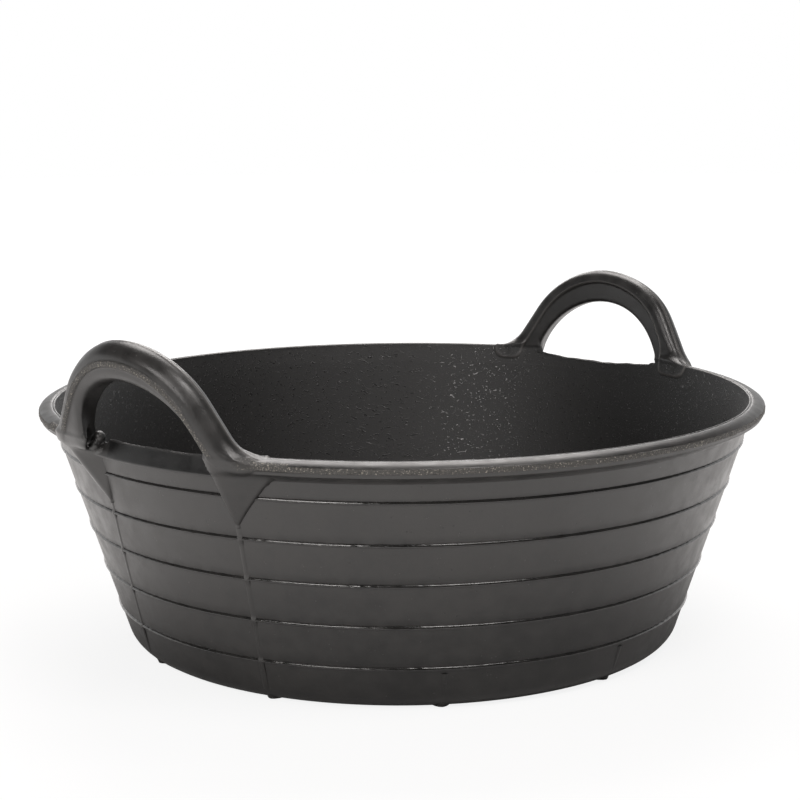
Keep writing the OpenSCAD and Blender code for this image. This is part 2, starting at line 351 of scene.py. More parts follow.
def grain(points, size, seed):
    """Lumps of about the given size at points, from -1 to 1."""
    place = points / size
    corner = np.floor(place).astype(np.int64)
    share = place - corner
    share = share * share * (3 - 2 * share)
    total = np.zeros(len(points))
    for step in np.ndindex(2, 2, 2):
        # Large numbers scramble a corner's place into a value
        key = (corner + step) @ np.array([374761393, 668265263, 1442695041]) + seed * 974711
        key = ((key ^ (key >> 13)) * 1274126177) & 0x7FFFFFFF
        value = (key ^ (key >> 16)) & 0xFFFF
        weight = np.prod(np.where(step, share, 1 - share), axis=1)
        total += weight * (value / 32767.5 - 1)
    return total


def inner_r(z):
    return RIM_R - RIM_W - (TUB_H - z) * math.tan(WALL_LEAN)


def lap_r(z):
    return inner_r(z) + WALL_T


def face_r(z):
    """Radius of a course's outer face, between its lip and the next one."""
    return lap_r(z) - FACE_SET


def out_of_round(angle):
    return ripple(angle, 11, *SWAY_WAVES, waves=6)


MOST_OUT = out_of_round(np.linspace(0, 2 * math.pi, 721)).max()


def sway(angle, z):
    """How far soft rubber falls short of round, growing towards the rim."""
    return SWAY_OUT * (z / TUB_H) * (out_of_round(angle) - MOST_OUT)


def dents(points):
    """The unevenness of a moulded face, the same for all pieces that meet."""
    return DENT_OUT * grain(points, DENT_SIZE, seed=7)


def round_axis(r, angle, z):
    """Points from radius, angle and height."""
    return np.stack([r * np.cos(angle), r * np.sin(angle), z], axis=-1)


def to_space(r, angle, z):
    """Points on the tub, with its sway."""
    return round_axis(r + sway(angle, z), angle, z)


# Outlines in radius and height
def along(start, stop, count):
    """Points from start towards stop, which is left out."""
    share = np.arange(count)[:, None] / count
    return np.asarray(start) * (1 - share) + np.asarray(stop) * share


def arc(middle, r, start_deg, stop_deg, count):
    a = np.radians(np.linspace(start_deg, stop_deg, count))
    return np.column_stack([middle[0] + r * np.cos(a), middle[1] + r * np.sin(a)])


def outline(*stretches):
    """Joins stretches of points, each with the kind of surface that it makes."""
    points = np.concatenate([np.atleast_2d(points) for points, _ in stretches])
    kinds = np.concatenate([[kind] * len(np.atleast_2d(points)) for points, kind in stretches])
    return points, kinds


def turned(deg, r):
    """A step of length r at an angle."""
    return np.array([math.cos(math.radians(deg)), math.sin(math.radians(deg))]) * r


def lip_flank(start):
    """Points up the flank of a lip."""
    points = [start]
    for deg, width in LIP_FACETS:
        points.append(points[-1] + turned(deg + 90, width))
    return np.array(points)


def bent(start, pull, stop, count):
    """Points of a bow from start to stop, drawn towards a third point."""
    t = np.linspace(0, 1, count)[:, None]
    return np.asarray(start) * (1 - t) ** 2 + np.asarray(pull) * 2 * t * (1 - t) + np.asarray(stop) * t ** 2


def course_outline(z0, z1):
    """One lapped course: inner face, lip along its lower edge and outer face."""
    low = z0 - LIP_DROP
    edge_mid = np.array([lap_r(low) + LIP_OUT - LIP_EDGE_R, low]) - turned(LIP_EDGE_DEG, LIP_EDGE_R) * (0, 1)
    flank_foot = edge_mid + turned(LIP_TURN_DEG, LIP_EDGE_R)
    buried = face_r(low) - JOINT_IN
    return outline(
        (along((inner_r(z1), z1), (inner_r(z0), z0), 5), INSIDE),
        ((inner_r(z0), z0), INSIDE),
        ((buried, z0), "joint"),
        ((buried, low + LIP_BACK), "joint"),
        (arc(edge_mid, LIP_EDGE_R, LIP_EDGE_DEG, LIP_TURN_DEG, 6)[:-1], "face"),
        (lip_flank(flank_foot), LIP),
        (along((face_r(low + LIP_H), low + LIP_H), (face_r(z1), z1), 5), "face"),
        ((face_r(z1), z1), "joint"))


def heel_outline(z1):
    """The lowest course: inner fillet, flat foot and rounded heel."""
    lean_deg = math.degrees(WALL_LEAN)
    heel_mid = (face_r(HEEL_R) - HEEL_R / math.cos(WALL_LEAN), HEEL_R)
    fillet_z = FLOOR_T + FILLET_R
    fillet_mid = (inner_r(fillet_z) - FILLET_R / math.cos(WALL_LEAN), fillet_z)
    return outline(
        ((inner_r(z1), z1), INSIDE),
        (arc(fillet_mid, FILLET_R, -lean_deg, -90, 8), INSIDE),
        ((FLOOR_R, FLOOR_T), INSIDE),
        ((FLOOR_R, 0), "joint"),
        (arc(heel_mid, HEEL_R, -90, -lean_deg, 9), "face"),
        ((face_r(z1), z1), "joint"))


def rim_outline():
    """The rim: concave underside, smooth band, rough trimmed band, and a crowned top with a groove."""
    foot_r = face_r(RIM_Z)
    band_z = TUB_H - BAND_H
    trim_z = TUB_H - TRIM_H
    band_r = RIM_R - TRIM_STEP - BAND_SLOPE
    bow = (foot_r + RIM_BOW_OUT, RIM_Z + RIM_BOW_UP)
    under = bent((foot_r, RIM_Z), bow, (band_r, band_z), 7)
    band_top = (RIM_R - TRIM_STEP, trim_z - TRIM_LEDGE)
    top_in = (RIM_R - RIM_W + RIM_INNER_R, TUB_H - RIM_INNER_R)
    groove = [(top_in[0] + out, TUB_H - deep) for out, deep in RIM_GROOVE]
    drop = RIM_CROWN_R - turned(RIM_EDGE_DEG, RIM_CROWN_R - RIM_EDGE_R)[1]
    top_out = np.array([RIM_R - RIM_EDGE_R, TUB_H - drop])
    crown_mid = top_out - turned(RIM_EDGE_DEG, RIM_CROWN_R - RIM_EDGE_R)
    inner_top = (RIM_R - RIM_W, TUB_H - RIM_INNER_R)
    return outline(
        (along(inner_top, (inner_r(RIM_Z), RIM_Z), RIM_INNER_COUNT), INSIDE),
        ((inner_r(RIM_Z), RIM_Z), INSIDE),
        (under, "face"),
        (along((band_r, band_z + BAND_START), band_top, 2), "face"),
        (band_top, "face"),
        (along((RIM_R, trim_z), top_out + (RIM_EDGE_R, 0), 3), TRIM),
        (arc(top_out, RIM_EDGE_R, 0, RIM_EDGE_DEG, 6)[:-1], TRIM),
        (arc(crown_mid, RIM_CROWN_R, RIM_EDGE_DEG, 90, 9), "face"),
        (groove, "face"),
        (arc(top_in, RIM_INNER_R, RIM_INNER_DEG, 180, 6)[:-1], "face"))


def rim_inner_r(z):
    """Radius of the rim's inner face."""
    share = (z - RIM_Z) / (TUB_H - RIM_INNER_R - RIM_Z)
    return inner_r(RIM_Z) + (RIM_R - RIM_W - inner_r(RIM_Z)) * share


# Pieces
def add_object(name, data):
    thing = bpy.data.objects.new(name, data)
    bpy.context.scene.collection.objects.link(thing)
    return thing


def make_piece(name, points, faces, marks, sharp_deg=40):
    """A mesh object in metres, smooth except along sharp edges, with marks for its material."""
    mesh = bpy.data.meshes.new(name)
    mesh.from_pydata((points * MM).tolist(), [], faces)
    mesh.polygons.foreach_set("use_smooth", [True] * len(mesh.polygons))
    mesh.set_sharp_from_angle(angle=math.radians(sharp_deg))
    for mark, values in marks.items():
        layer = mesh.attributes.new(mark, "FLOAT", "POINT")
        layer.data.foreach_set("value", values.astype(np.float32))
    mesh.update()
    return add_object(name, mesh)


def dress(piece, material):
    piece.data.materials.append(material)


def ring_faces(turns, count, closed):
    """Quads over a grid of outlines, with both ends covered where the ring is open."""
    faces = []
    for i in range(turns if closed else turns - 1):
        here, there = i * count, (i + 1) % turns * count
        for j in range(count):
            k = (j + 1) % count
            faces.append((here + j, there + j, there + k, here + k))
    if not closed:
        faces.append(tuple(range(count)))
        faces.append(tuple(reversed(range((turns - 1) * count, turns * count))))
    return faces


def make_ring(name, shape, angles, closed, seed):
    """Turns an outline round the tub, with the unevenness of moulded and trimmed rubber."""
    points, kinds = shape
    angle = np.repeat(angles[:, None], len(points), axis=1)
    r = np.repeat(points[None, :, 0], len(angles), axis=0)
    z = np.repeat(points[None, :, 1], len(angles), axis=0)
    lip, trim, inside, face = (np.repeat((kinds == kind)[None, :], len(angles), axis=0)
                               for kind in (LIP, TRIM, INSIDE, "face"))
    flat = round_axis(r, angle, z).reshape(-1, 3)
    r = r + lip * LIP_RIPPLE * ripple(angle, seed, *LIP_WAVES)
    r = r + DENT_SHARE * face * dents(flat).reshape(r.shape)
    r = r - trim * TRIM_ROUGH * (1 + grain(flat, CRUMB_SIZE, seed).reshape(r.shape))
    trim_foot = trim * (z < TUB_H - TRIM_H + RAG_H)
    z = z + trim_foot * RAG_UP * grain(flat, RAG_SIZE, seed + 1).reshape(r.shape)
    marks = {TRIM: trim, INSIDE: inside, LIP: lip}
    return make_piece(name, to_space(r, angle, z).reshape(-1, 3),
                      ring_faces(len(angles), len(points), closed),
                      {mark: values.ravel() for mark, values in marks.items()})


def make_floor_disc():
    """The floor: a disc whose upper side belongs to the inside."""
    radii = np.array([*FLOOR_RINGS, FLOOR_R])
    shape = [(r, FLOOR_T) for r in radii] + [(FLOOR_R, 0), (radii[0], 0)]
    angle = full_turn(96)[:, None]
    r, z = np.array(shape).T
    points = round_axis(r, angle, z + 0 * angle).reshape(-1, 3)
    count, turns = len(shape), len(angle)
    faces = [face for face in ring_faces(turns, count, True) if face[0] % count != count - 1]
    faces.append(tuple(range(0, turns * count, count)))
    faces.append(tuple(range(count - 1, turns * count, count))[::-1])
    return make_piece("floor_moulding", points, faces, {INSIDE: np.tile(z > 0, turns)})


def full_turn(count):
    return np.arange(count) * 2 * math.pi / count


# Grips: one closed skin per grip, from a field of distances on the grip's sheet
def crest_line():
    """Crest of a grip on its sheet: along the rim, up the flare, over the arc and down again."""
    turn = np.linspace(0, SHOULDER, 14)
    top = np.linspace(SHOULDER, 0, 24)
    arc_s, arc_h = CREST_R * np.sin(top), CREST_H - CREST_R + CREST_R * np.cos(top)
    flare_h = FLARE_R * (1 - np.cos(turn))
    flare_end = arc_s[0] + (arc_h[0] - flare_h[-1]) / math.tan(SHOULDER) + FLARE_R * math.sin(SHOULDER)
    half_s = np.concatenate([[2 * ZONE_S], flare_end - FLARE_R * np.sin(turn), arc_s])
    half_h = np.concatenate([[0], flare_h, arc_h])
    s = np.concatenate([half_s, -half_s[-2::-1]])
    h = np.concatenate([half_h, half_h[-2::-1]])
    return np.column_stack([s, h]), flare_end


CREST, FLARE_END = crest_line()
FLARE_TOP = FLARE_END - FLARE_R * math.sin(SHOULDER)
JAMB_S = math.sqrt(HOLE_R ** 2 - (HOLE_R - HOLE_TOP) ** 2)


def line_distance(points, path):
    """Distance from points to a line of straight stretches."""
    best = np.full(len(points), np.inf)
    for start, stop in zip(path[:-1], path[1:]):
        way = stop - start
        share = np.clip((points - start) @ way / (way @ way), 0, 1)
        best = np.minimum(best, np.linalg.norm(points - start - share[:, None] * way, axis=1))
    return best


def crest_depth(s, h):
    """How deep a point of the sheet lies under the crest."""
    gap = line_distance(np.column_stack([s, h]), CREST)
    height = np.interp(s, CREST[::-1, 0], CREST[::-1, 1])
    return np.where(h < height, gap, -gap)


def outline_distance(b, h, points):
    """Signed distance to a closed outline given in radius and height, negative inside."""
    loop = np.vstack([points, points[:1]]) - [GRIP_R, TUB_H]
    spot = np.column_stack([b, h])
    inside = np.zeros(len(b), bool)
    for (b0, h0), (b1, h1) in zip(loop[:-1], loop[1:]):
        if h0 != h1:
            inside ^= ((h0 > h) != (h1 > h)) & (b < b0 + (h - h0) / (h1 - h0) * (b1 - b0))
    gap = line_distance(spot, loop)
    return np.where(inside, -gap, gap)


def zone_foot():
    """Foot of the grips' zone: its faces sink into the course below, a hair's breadth at a time."""
    low, step = RIM_Z - ZONE_LAP, RIM_Z - ZONE_STEP
    outer = face_r(RIM_Z)
    return [(inner_r(RIM_Z) - ZONE_PROUD, RIM_Z),
            (inner_r(low) + ZONE_SUNK, low),
            (inner_r(low) + ZONE_LOW_T, low),
            (inner_r(step) + ZONE_STEP_T, step),
            (outer - JOINT_IN, step),
            (outer - JOINT_IN, RIM_Z - ZONE_NECK),
            (outer, RIM_Z)]


def sill_outline(top):
    """The edge under a hand-hole: a ledge, and a face trimmed at a slant up to a thin top."""
    ledge_r = face_r(RIM_Z) + SILL_LEDGE
    end_r = ledge_r - (top - RIM_Z) * math.tan(SILL_SLANT)
    nose = [(ledge_r + out, RIM_Z + up) for out, up in SILL_NOSE]
    over = top + SILL_OVER
    return np.array([*zone_foot(), *nose, (end_r, top), (end_r, over), (rim_inner_r(over), over)])


def sill_edge(look, s):
    """Height of a sill's hand-cut top edge on the grip's sheet."""
    edge = look["sill_h"] + look["sill_sag"] * (s / JAMB_S) ** 2
    for height, length in SILL_WAVES:
        edge = edge + height * np.sin(s / length)
    return edge


def leg_distance(s, h, b, wall_b, top_s, tip_s, facet):
    """A leg on the s > 0 side: two facets that meet in a ridge and run down to the seam rib."""
    facet_w, high_slope, low_slope = facet
    fall = np.clip(-h / LEG_H, 0, 1)
    up = np.maximum(h, 0)
    facet_slope = high_slope + (low_slope - high_slope) * smooth(*FACET_FADE, fall)
    tip_b = lap_r(TUB_H - LEG_H) + SEAM_RISE - GRIP_R
    ridge_b = LEG_TOP_B + (tip_b - LEG_TOP_B) * fall - LEG_FALL * up
    near_s = top_s + (tip_s - SEAM_W / 2 - top_s) * fall + LEG_SPLAY * up
    far_s = np.minimum(tip_s + SEAM_W / 2 + LEG_SPREAD * (1 - fall) ** LEG_CURVE, FLARE_END + 1)
    ridge_s = near_s + facet_w * (1 - fall)
    outer = (b - ridge_b + LEG_SLOPE * (s - ridge_s)) / math.hypot(1, LEG_SLOPE, LEG_LEAN)
    inner = (b - ridge_b + facet_slope * (ridge_s - s)) / np.sqrt(1 + LEG_LEAN ** 2 + facet_slope ** 2)
    leg = soft_max(soft_max(outer, inner, LEG_RIDGE_ROUND), near_s - s, LEG_ROUND)
    leg = soft_max(leg, s - far_s, LEG_ROUND)
    leg = np.maximum(leg, wall_b - b)
    return np.maximum(leg, np.maximum(h - LEG_TOP_H, -LEG_H - 2 - h))


def crest_s(s, look):
    """Place on the sheet as the crest counts it, where its -s side is drawn out."""
    return s + look["crest_out"] * smooth(*CREST_OUT_FADE, -s)


def tongue_gap(depth, s, h, look):
    """How far a point of the sheet lies outside the crown and tongues of the inner side."""
    tail = smooth(FLARE_TOP, FLARE_END, np.abs(s))
    past_end = np.abs(s) - TONGUE_END
    crown = soft_max(depth - CROWN_DEPTH + CROWN_THIN * tail, past_end, CROWN_END_ROUND)
    start = np.where(s > 0, *look["tongues"])
    tongue = soft_max(past_end, start - np.abs(s), TONGUE_ROUND)
    tongue = soft_max(tongue, -TONGUE_H - h, TONGUE_FOOT_ROUND)
    return soft_min(crown, tongue, CROWN_ROUND)


def on_crown(tongue):
    """1 on the crown and the tongues of a grip's inner side, 0 off them."""
    return 1 - smooth(-CROWN_SOFT, CROWN_SOFT, tongue)


def inner_limit(h, tongue):
    """How far in a grip and its foot may reach: flush with the wall, and farther where the crown is."""
    up = np.maximum(h, 0)
    flush = rim_inner_r(TUB_H + np.minimum(h, -RIM_INNER_R)) - GRIP_R + BAND_LEAN * up
    slant = CROWN_SLANT * np.maximum(-tongue, 0) * smooth(*CROWN_SLANT_FADE, h)
    return flush - (CROWN_PROUD + CROWN_WIDEN * up) * on_crown(tongue) + slant


def grip_distance(s, h, b, look):
    """The arched grip: round crown, flash band, faces set in under it, and the hand-hole."""
    drawn_s = crest_s(s, look)
    flat = np.broadcast_to(drawn_s, (s.shape[0], h.shape[1], 1))
    tall = np.broadcast_to(h, flat.shape)
    depth = crest_depth(flat.ravel(), tall.ravel()).reshape(flat.shape)
    tail = smooth(FLARE_TOP, FLARE_END, np.abs(drawn_s))
    half = GRIP_HALF + (TAIL_HALF - GRIP_HALF) * tail
    beside = b + GRIP_SHIFT * tail
    outward = smooth(*SIDE_FADE, beside)
    grip = np.hypot(beside, np.maximum(half - depth, 0)) - half
    grip = grip + RIDGE_H * (1 - smooth(*RIDGE_FADE, depth)) * (1 - line(*RIDGE_LINE, beside))
    grip = grip - outward * (1 - tail) * FLASH_PROUD * band(FLASH_LOW, FLASH_HIGH, FLASH_EDGE, depth)
    grip = grip + outward * (1 - tail) * FLASH_STEP * smooth(*FLASH_FADE, depth)
    tongue = tongue_gap(depth, drawn_s, h, look)
    hole = np.hypot(s - look["hole_shift"], h - (HOLE_TOP - HOLE_R)) - HOLE_R
    jamb = (-s - look["jamb_s"] - JAMB_SLANT * (GRIP_HALF - b)) / math.hypot(1, JAMB_SLANT)
    hole = soft_max(hole, jamb, JAMB_ROUND)
    grip = soft_max(grip, -hole, HOLE_EDGE_IN + (HOLE_EDGE_OUT - HOLE_EDGE_IN) * outward)
    grip = soft_max(grip, -GRIP_FOOT_H - h, GRIP_ROUND)
    grip = soft_max(grip, inner_limit(h, tongue) - b, GRIP_ROUND)
    grip = soft_max(grip, b - GRIP_FOOT_B - GRIP_FOOT_SLOPE * h, GRIP_FOOT_ROUND)
    return grip + TAIL_SINK * smooth(*TAIL_FADE, np.abs(drawn_s)), depth, tongue, hole


def ball(s, h, b, place):
    """Distance to a ball on the sheet, given by its middle and radius."""
    return np.sqrt((s - place[0]) ** 2 + (h - place[1]) ** 2 + (b - place[2]) ** 2) - place[3]


def cross_distance(points, h, b):
    """Signed distance to an outline that runs all along the sheet."""
    cross_b = np.broadcast_to(b, (1, h.shape[1], b.shape[2]))
    cross_h = np.broadcast_to(h, cross_b.shape)
    return outline_distance(cross_b.ravel(), cross_h.ravel(), points).reshape(cross_b.shape)


def rim_distance(s, h, b):
    """The rim beside a hand-hole, with the zone's foot for an inner face."""
    points, _ = rim_outline()
    points = np.vstack([zone_foot(), points[RIM_INNER_COUNT + 2:], points[:1]])
    return np.maximum(cross_distance(points, h, b), JAMB_S - 1 - np.abs(s))


def sill_distance(s, h, b, look):
    """The sill under a hand-hole."""
    sill = cross_distance(sill_outline(TUB_H + look["sill_h"]), h, b)
    sill = soft_max(sill, h - sill_edge(look, s), SILL_ROUND)
    return np.maximum(sill, np.abs(s) - JAMB_S + 0.5)


def tongue_rise(s, h, b, tongue):
    """How far the tongues stand out of the inner wall."""
    on_wall = (1 - smooth(*TONGUE_B_FADE, b)) * (1 - smooth(*TONGUE_H_FADE, h))
    on_wall = on_wall * smooth(*TONGUE_S_FADE, np.abs(s))
    return on_wall * (TONGUE_RISE * on_crown(tongue) + TONGUE_EDGE * line(*TONGUE_LINE, tongue))


def with_legs(body, s, h, b, depth, look):
    """A grip's body with its two legs."""
    wall_b = inner_r(TUB_H + h) + WALL_T - LEG_SUNK - GRIP_R
    legs = zip((1, -1), look["tops"], look["tips"], look["facets"], (0, look["minus_shift"]))
    for side, top_s, tip_s, facet, shift in legs:
        leg = leg_distance(side * s, h, b, wall_b, top_s, tip_s + shift, facet)
        body = soft_min(body, np.maximum(leg, LEG_TOP_DEPTH - depth), LEG_JOIN)
    return body


def zone_field(s, h, b, look):
    """Signed distances over the whole zone of a grip: grip, rim, sill and legs as one moulding."""
    grip, depth, tongue, hole = grip_distance(s, h, b, look)
    edge = sill_edge(look, s)
    body = soft_min(grip, rim_distance(s, h, b), RIM_JOIN + RIM_JOIN_UP * smooth(*RIM_JOIN_FADE, h))
    body = body - tongue_rise(s, h, b, tongue)
    body = with_legs(body, s, h, b, depth, look)
    body = np.maximum(body, -np.maximum(hole, edge - h))
    corner = np.where(s > 0, SILL_CORNER, look["minus_corner"])
    corner = SILL_TIGHT + corner * smooth(edge - 1, edge + 1, h)
    body = soft_min(body, sill_distance(s, h, b, look), corner)
    flush = inner_limit(h, tongue) - TONGUE_RISE * on_crown(tongue) - b
    body = np.maximum(body, np.where(h > FLUSH_FROM, flush, -1))
    for place in look["notches"]:
        body = soft_max(body, -ball(s, h, b, place), NOTCH_ROUND)
    for place in look["lumps"]:
        body = soft_min(body, ball(s, h, b, place), LUMP_ROUND)
    sink = smooth(ZONE_S - ZONE_FADE, ZONE_S, np.abs(s))
    body = body + ZONE_PROUD * (2 * sink - 1)
    return np.maximum(body, np.abs(s) - ZONE_S)


def net_points(field, cells):
    """A point in each crossed cell, the middle of its edges' crossings."""
    total, count = np.zeros((len(cells), 3)), np.zeros((len(cells), 1))
    for start in np.ndindex(2, 2, 2):
        for axis in range(3):
            if start[axis]:
                continue
            stop = tuple(v + (i == axis) for i, v in enumerate(start))
            low, high = field[tuple((cells + start).T)], field[tuple((cells + stop).T)]
            crossed = (low < 0) != (high < 0)
            share = np.where(crossed, low / np.where(crossed, low - high, 1), 0)
            spot = np.array(start) + share[:, None] * (np.arange(3) == axis)
            total += crossed[:, None] * spot
            count += crossed[:, None]
    return cells + total / count


def net_quads(inside, index):
    """A quad round each edge of the grid that leads in or out."""
    size = index.shape
    step = np.eye(3, dtype=int)
    quads = []
    for axis in range(3):
        u, v = (axis + 1) % 3, (axis + 2) % 3
        low = np.take(inside, range(size[axis]), axis)
        high = np.take(inside, range(1, size[axis] + 1), axis)
        edges = np.argwhere(low != high)
        within = (edges[:, u] > 0) & (edges[:, v] > 0) & (edges[:, u] < size[u]) & (edges[:, v] < size[v])
        edges = edges[within]
        around = [edges - step[u] - step[v], edges - step[v], edges, edges - step[u]]
        quad = np.column_stack([index[tuple(cell.T)] for cell in around])
        flip = ~low[tuple(edges.T)]
        quad[flip] = quad[flip][:, ::-1]
        quads.append(quad)
    return np.concatenate(quads)


def surface_net(field):
    """A closed quad mesh where a field crosses zero, in cells."""
    inside = field < 0
    i, j, k = np.array(field.shape) - 1
    corners = np.ndindex(2, 2, 2)
    filled = sum(inside[x:x + i, y:y + j, z:z + k].astype(np.int8) for x, y, z in corners)
    cells = np.argwhere((filled > 0) & (filled < 8))
    index = np.full((i, j, k), -1)
    index[tuple(cells.T)] = np.arange(len(cells))
    return net_points(field, cells), net_quads(inside, index)


def grip_marks(s, h, b, look):
    """Where a grip's skin is trimmed, worn and painted with a highlight, painted with shade below the sill's
    edge, or on the inside.
    """
    drawn_s = crest_s(s, look)
    depth = crest_depth(drawn_s, h)
    gap = tongue_gap(depth, drawn_s, h, look)
    edge = sill_edge(look, s)
    flash_trim = band(*FLASH_TRIM, depth) * (b > FLASH_TRIM_B) * (h > FLASH_TRIM_H)
    rim_trim = band(*RIM_TRIM, h) * smooth(*RIM_TRIM_B_FADE, b)
    rim_trim = rim_trim * smooth(*RIM_TRIM_S_FADE, np.abs(s) - JAMB_S)
    on_sill = (s < JAMB_S - 2) * (s > look["sill_from"])
    sill_trim = on_sill * (np.abs(h - edge) < SILL_TRIM_W)
    # Painted highlight, partly wear: light lines along the tongues' edges and along the crest
    tongue_wear_and_highlight = line(*TONGUE_WEAR_HIGHLIGHT_LINE, gap) * (b < TONGUE_WEAR_HIGHLIGHT_B) * (h > TONGUE_WEAR_HIGHLIGHT_H)
    crest_wear_and_highlight = line(*CREST_WEAR_HIGHLIGHT_LINE, b) * (depth < CREST_WEAR_HIGHLIGHT_DEPTH) * (np.abs(s) < FLARE_END)
    outer = b > rim_inner_r(TUB_H + h) + INSIDE_T - GRIP_R
    below_edge = (h > SILL_SHADE_FROM) * (h < edge - SILL_SHADE_UNDER)
    return {TRIM: np.clip(flash_trim + rim_trim + sill_trim, 0, 1),
            INSIDE: (h < 1) * (1 - outer),
            # Painted shade: the sill's face below its edge
            SILL_SHADE: outer * below_edge * on_sill,
            WEAR_AND_HIGHLIGHT: np.clip(tongue_wear_and_highlight + crest_wear_and_highlight, 0, 1)}


def make_grip(name, look):
    """The zone of one grip: its skin on the sheet, bent round the tub and leaned outwards."""
    half_s = ZONE_S + 3 * CELL
    s = np.arange(-half_s, half_s + CELL, CELL)[:, None, None]
    h = np.arange(-LEG_H - 4, CREST_H + 3, CELL)[None, :, None]
    b = np.arange(inner_r(TUB_H - LEG_H) - GRIP_R - 2, GRIP_HALF + 4, CELL)[None, None, :]
    cells, quads = surface_net(zone_field(s, h, b, look))
    spot = cells * CELL + [s.min(), h.min(), b.min()]
    at_s, at_h, at_b = spot.T
    marks = grip_marks(at_s, at_h, at_b, look)
    crumbs = marks[TRIM] * np.sign(at_b) * TRIM_ROUGH * (1 + grain(spot, CRUMB_SIZE, seed=5))
    shift = look["minus_shift"] * smooth(*SHIFT_IN_FADE, at_s) * (1 - smooth(*SHIFT_OUT_FADE, at_s))
    angle = look["turn"] + (at_s + shift) / GRIP_R
    flat_r, z = GRIP_R + at_b, TUB_H + at_h
    r = flat_r + dents(round_axis(flat_r, angle, z)) * DENT_SHARE * (1 - marks[INSIDE]) - crumbs
    r = r + np.maximum(at_h, 0) * math.tan(math.radians(look["lean_deg"]))
    points = to_space(r, angle, z)
    return make_piece(name, points, quads.tolist(), marks, sharp_deg=70)


# Ribs
def skin_line():
    """Outer surface of the wall as radius over height."""
    shapes = [heel_outline(LAP_Z[0])]
    shapes += [course_outline(z0, z1) for z0, z1 in zip(LAP_Z, LAP_Z[1:] + [RIM_Z])]
    points = np.concatenate([points[np.isin(kinds, ["face", LIP])] for points, kinds in shapes])
    return points[np.argsort(points[:, 1], kind="stable")]


SKIN = skin_line()


def skin_r(z):
    """Radius of the wall's outer surface, its steps smoothed over a small spread."""
    near = np.linspace(-SKIN_SPREAD, SKIN_SPREAD, 9)
    return np.mean([np.interp(z + step, SKIN[:, 1], SKIN[:, 0]) for step in near], axis=0)


def rib_mesh(z, edge_r, middle, half_w, fall):
    """A round-backed rib up the wall: its edge's radius, angle, half width and fall at each height."""
    across = np.linspace(-1, 1, 7)
    back = edge_r[:, None] - np.reshape(fall, (-1, 1)) * across[None, :] ** 2
    deep = np.minimum(inner_r(z) + RIB_ROOT, edge_r - fall - RIB_LEAST)[:, None]
    r = np.hstack([deep, back, deep])
    sideways = half_w[:, None] * np.hstack([[-1], across, [1]])[None, :]
    heights = np.repeat(z[:, None], r.shape[1], axis=1)
    points = to_space(r, middle[:, None] + sideways / r, heights).reshape(-1, 3)
    faces = [face[:1] + face[:0:-1] for face in ring_faces(len(z), r.shape[1], False)]
    return points, faces


def join_ribs(name, ribs):
    """One piece from several ribs."""
    points, faces = [], []
    for rib_points, rib_quads in ribs:
        start = sum(len(p) for p in points)
        points.append(rib_points)
        faces += [tuple(start + i for i in face) for face in rib_quads]
    return make_piece(name, np.concatenate(points), faces, {})


def seam_angle(look, side, z):
    """Angle of a seam at a height: it starts at its leg's tip and wanders on its way down."""
    tip_s, wander = look["tips"][side], look["wander"][side]
    s = tip_s + wander * np.maximum(TUB_H - LEG_H - z, 0)
    return look["turn"] + (s if side == 0 else -s) / GRIP_R


def make_seam_ribs():
    """Four low ridges from the legs' tips down to the heel, over the laps."""
    z = np.linspace(SEAM_LOW, TUB_H - LEG_H + SEAM_OVER, 180)
    half_w = SEAM_W / 2 * (1 + SEAM_WOBBLE * np.sin(z / SEAM_WOBBLE_H))
    edge_r = skin_r(z) + SEAM_RISE
    ribs = [rib_mesh(z, edge_r, seam_angle(look, side, z), half_w, SEAM_FALL)
            for look in GRIPS.values() for side in (0, 1)]
    return join_ribs("seam_ridges", ribs)


def make_heel_ribs():
    """Ten small flares round the heel that widen down to the ground."""
    z = np.linspace(FIN_LOW, LAP_Z[0] - FIN_GAP, 24)
    share = 1 - z / z[-1]
    edge_r = skin_r(z) + FIN_RISE
    reach_out = skin_r(FIN_FOOT) + FIN_OUT - edge_r[-1]
    edge_r = np.maximum(edge_r, edge_r[-1] + reach_out * share)
    half_w = FIN_W / 2 * (FIN_TOP + FIN_GAIN * share)
    fall = FIN_FALL * share + FIN_LEAST_FALL
    ribs = []
    for look in GRIPS.values():
        feet = [seam_angle(look, side, HEEL_R) for side in (0, 1)]
        for angle in feet + [look["turn"] + math.radians(a) for a in FIN_DEGS]:
            ribs.append(rib_mesh(z, edge_r, np.full(len(z), angle), half_w, fall))
    return join_ribs("heel_fins", ribs)


